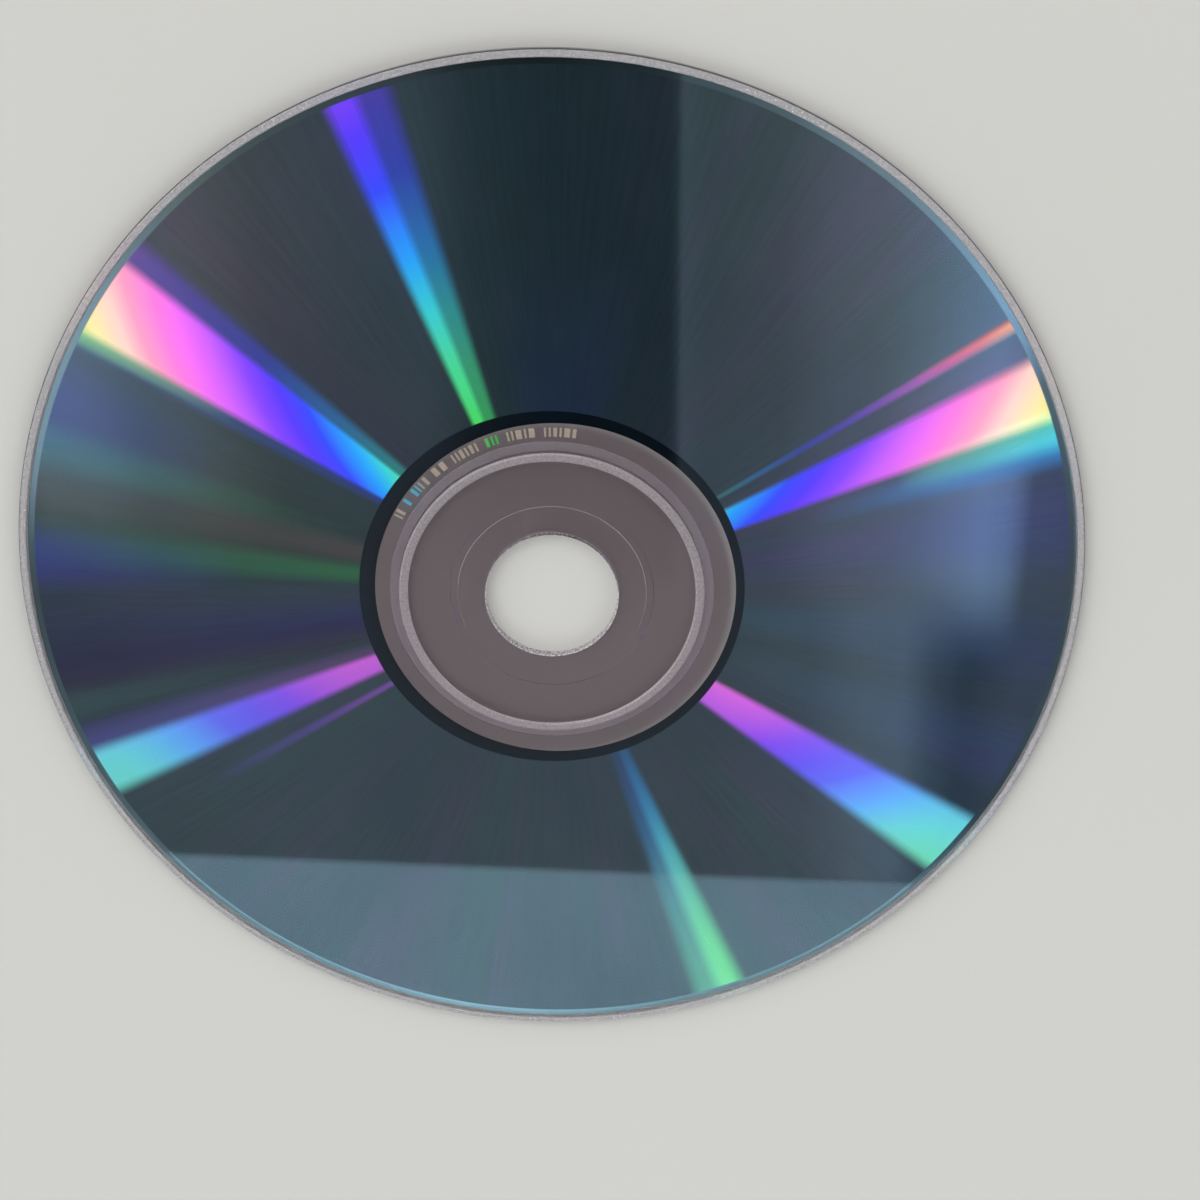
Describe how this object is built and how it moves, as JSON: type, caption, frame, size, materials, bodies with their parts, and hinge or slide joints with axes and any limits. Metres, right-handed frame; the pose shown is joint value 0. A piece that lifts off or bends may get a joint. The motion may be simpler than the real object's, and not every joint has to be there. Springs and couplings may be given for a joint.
{
  "type": "recordable compact disc",
  "caption": "Clear plastic disc with a central hole, a frosted ridge round the hub and a blue-green mirror film that stops short of the hub and rim.",
  "frame": {"origin": "on the axis of the central hole, at the lowest face of the label side", "axes": "+Z along the axis of the hole, out of the read side"},
  "size_m": [0.12, 0.12, 0.0014],
  "materials": {
    "substrate": "clear moulded polycarbonate, optically smooth, frosted on the ridge and the groove behind it",
    "recording_film": "blue-green dye in front of a silver mirror, plain lacquer on the label side"
  },
  "bodies": {
    "root": {"substrate": "substrate", "recording_film": "recording_film"}
  },
  "joints": []
}
